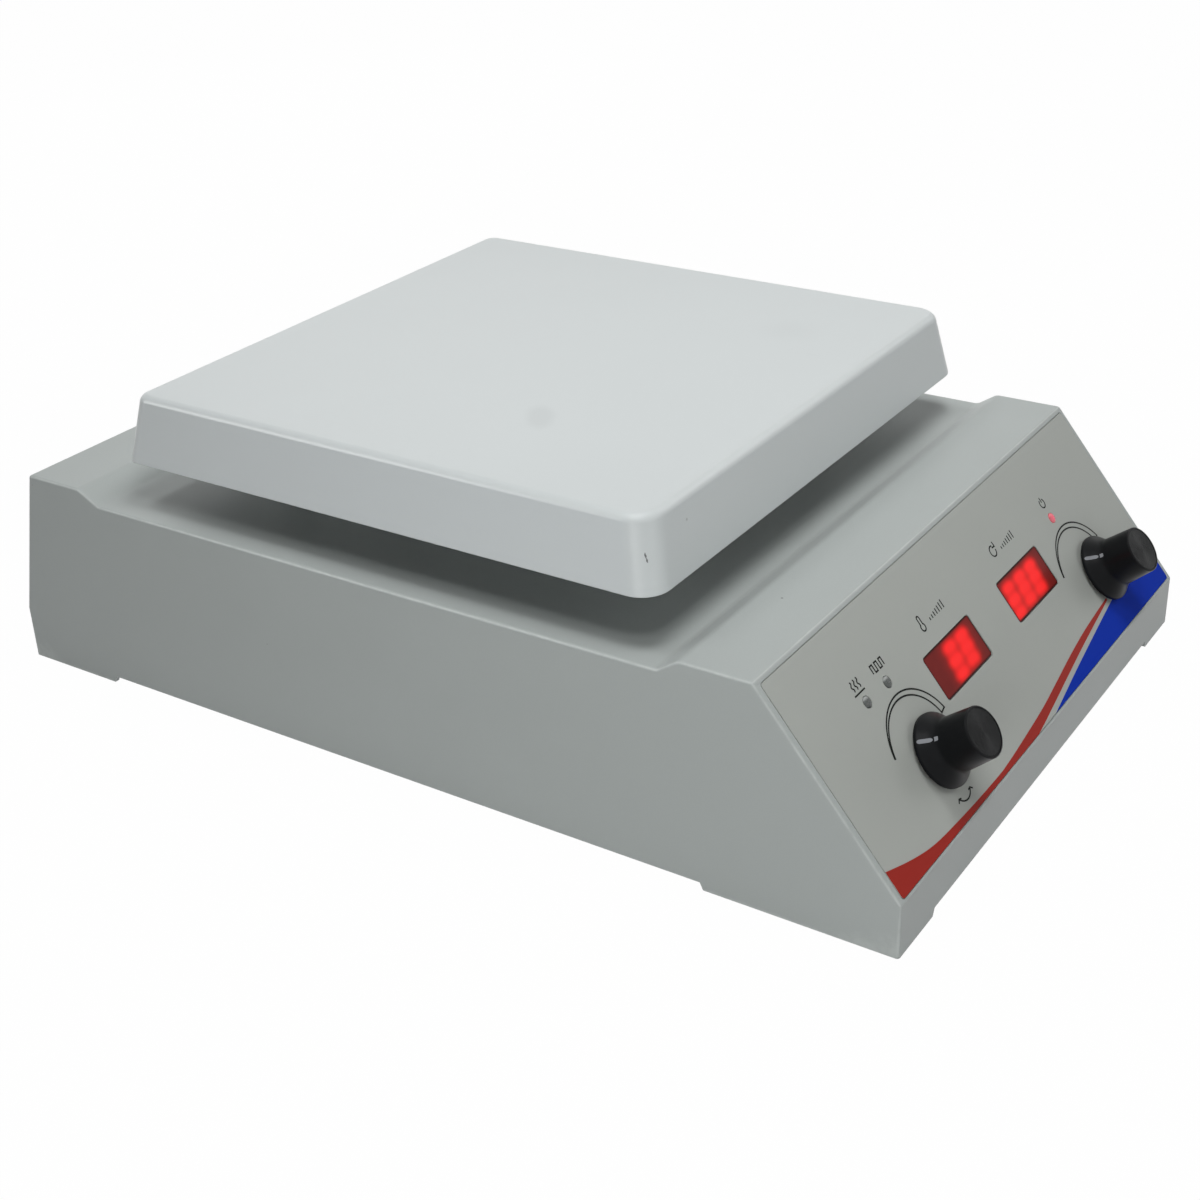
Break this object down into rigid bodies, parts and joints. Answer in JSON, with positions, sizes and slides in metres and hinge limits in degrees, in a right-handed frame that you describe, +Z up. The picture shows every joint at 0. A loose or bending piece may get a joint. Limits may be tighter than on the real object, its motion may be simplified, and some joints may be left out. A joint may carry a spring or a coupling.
{
  "type": "hotplate stirrer",
  "caption": "Bench hotplate with magnetic stirring: square enamelled plate on a recessed steel body, sloping front panel with push-and-turn knobs, red digital displays and indicator lamps.",
  "frame": {"origin": "middle of the part's footprint, on the bench surface under the rubber feet", "axes": "+Z up, +X to the right as the user faces the panel, +Y to the rear"},
  "size_m": [0.276, 0.4292, 0.1337],
  "materials": {
    "grey_paint": "fine textured powder coat",
    "zinc_sheet": "zinc plated sheet",
    "zinc_screw": "zinc plated",
    "foot_rubber": "matt",
    "overlay_film": "satin printed film",
    "red_window": "clear red filter",
    "display_body": "matt",
    "circuit_board": "solder mask",
    "unlit_lamp": "diffused lens",
    "lit_lamp": "diffused lens, lit",
    "steel_part": "machined",
    "brass_part": "plain",
    "dark_plastic": "moulded",
    "knob_plastic": "satin moulded",
    "spun_cap": "black anodised, spun",
    "white_enamel": "vitreous enamel, gloss",
    "plain_aluminium": "mill",
    "insulation_wool": "ceramic fibre board",
    "magnet_metal": "nickel plated",
    "inlet_plastic": "moulded",
    "fuse_glass": "clear"
  },
  "bodies": {
    "root": {"housing": "grey_paint", "base_plate": "zinc_sheet", "foot_front_left": "foot_rubber", "foot_front_right": "foot_rubber", "foot_rear_left": "foot_rubber", "foot_rear_right": "foot_rubber", "foot_screw_front_left": "zinc_screw", "foot_screw_front_right": "zinc_screw", "foot_screw_rear_left": "zinc_screw", "foot_screw_rear_right": "zinc_screw", "panel_overlay": "overlay_film", "temp_window": "red_window", "speed_window": "red_window", "temp_display": "display_body", "speed_display": "display_body", "display_board": "circuit_board", "hot_lamp": "unlit_lamp", "heat_lamp": "unlit_lamp", "power_lamp": "lit_lamp", "temp_encoder_body": "steel_part", "temp_encoder_nut": "brass_part", "speed_encoder_body": "steel_part", "speed_encoder_nut": "brass_part", "hotplate_shell": "white_enamel", "heat_spreader": "plain_aluminium", "heating_element": "steel_part", "temperature_probe": "steel_part", "insulation_pad": "insulation_wool", "heat_shield": "plain_aluminium", "plate_pillar_1": "steel_part", "plate_pillar_2": "steel_part", "plate_pillar_3": "steel_part", "plate_pillar_4": "steel_part", "motor_bracket": "zinc_sheet", "stirrer_motor": "steel_part", "shaft_bearing": "steel_part", "shaft_guard": "dark_plastic", "control_board": "circuit_board", "transformer": "dark_plastic", "heatsink": "plain_aluminium", "mains_inlet": "inlet_plastic", "earth_pin": "brass_part", "line_pin": "brass_part", "neutral_pin": "brass_part"},
    "temp_rotor": {"temp_encoder_rotor": "dark_plastic"},
    "temp_knob_set": {"temp_encoder_shaft": "steel_part", "temp_knob": "knob_plastic", "temp_knob_cap": "spun_cap"},
    "speed_rotor": {"speed_encoder_rotor": "dark_plastic"},
    "speed_knob_set": {"speed_encoder_shaft": "steel_part", "speed_knob": "knob_plastic", "speed_knob_cap": "spun_cap"},
    "stirrer_drive": {"motor_shaft": "steel_part", "magnet_carrier": "plain_aluminium", "drive_magnet_1": "magnet_metal", "drive_magnet_2": "magnet_metal"},
    "fuse_carrier": {"fuse_drawer": "inlet_plastic", "fuse": "fuse_glass"}
  },
  "joints": [
    {"name": "temp_turn", "type": "hinge", "parent": "root", "child": "temp_rotor", "pos_m": [-0.07449, -0.19161, 0.04343], "axis": [0, -0.7756, 0.6312], "continuous": true},
    {"name": "temp_push", "type": "slide", "parent": "temp_rotor", "child": "temp_knob_set", "axis": [0, 0.7756, -0.6312], "range_m": [0, 0.0005], "stiffness_N_per_m": 2000},
    {"name": "speed_turn", "type": "hinge", "parent": "root", "child": "speed_rotor", "pos_m": [0.09, -0.19161, 0.04343], "axis": [0, -0.7756, 0.6312], "continuous": true},
    {"name": "speed_push", "type": "slide", "parent": "speed_rotor", "child": "speed_knob_set", "axis": [0, 0.7756, -0.6312], "range_m": [0, 0.0005], "stiffness_N_per_m": 2000},
    {"name": "stirrer_spin", "type": "hinge", "parent": "root", "child": "stirrer_drive", "pos_m": [0, 0.02021, 0.09], "axis": [0, 0, 1], "continuous": true},
    {"name": "fuse_slide", "type": "slide", "parent": "root", "child": "fuse_carrier", "axis": [0, 0.9678, 0.2516], "range_m": [0, 0.02]}
  ]
}
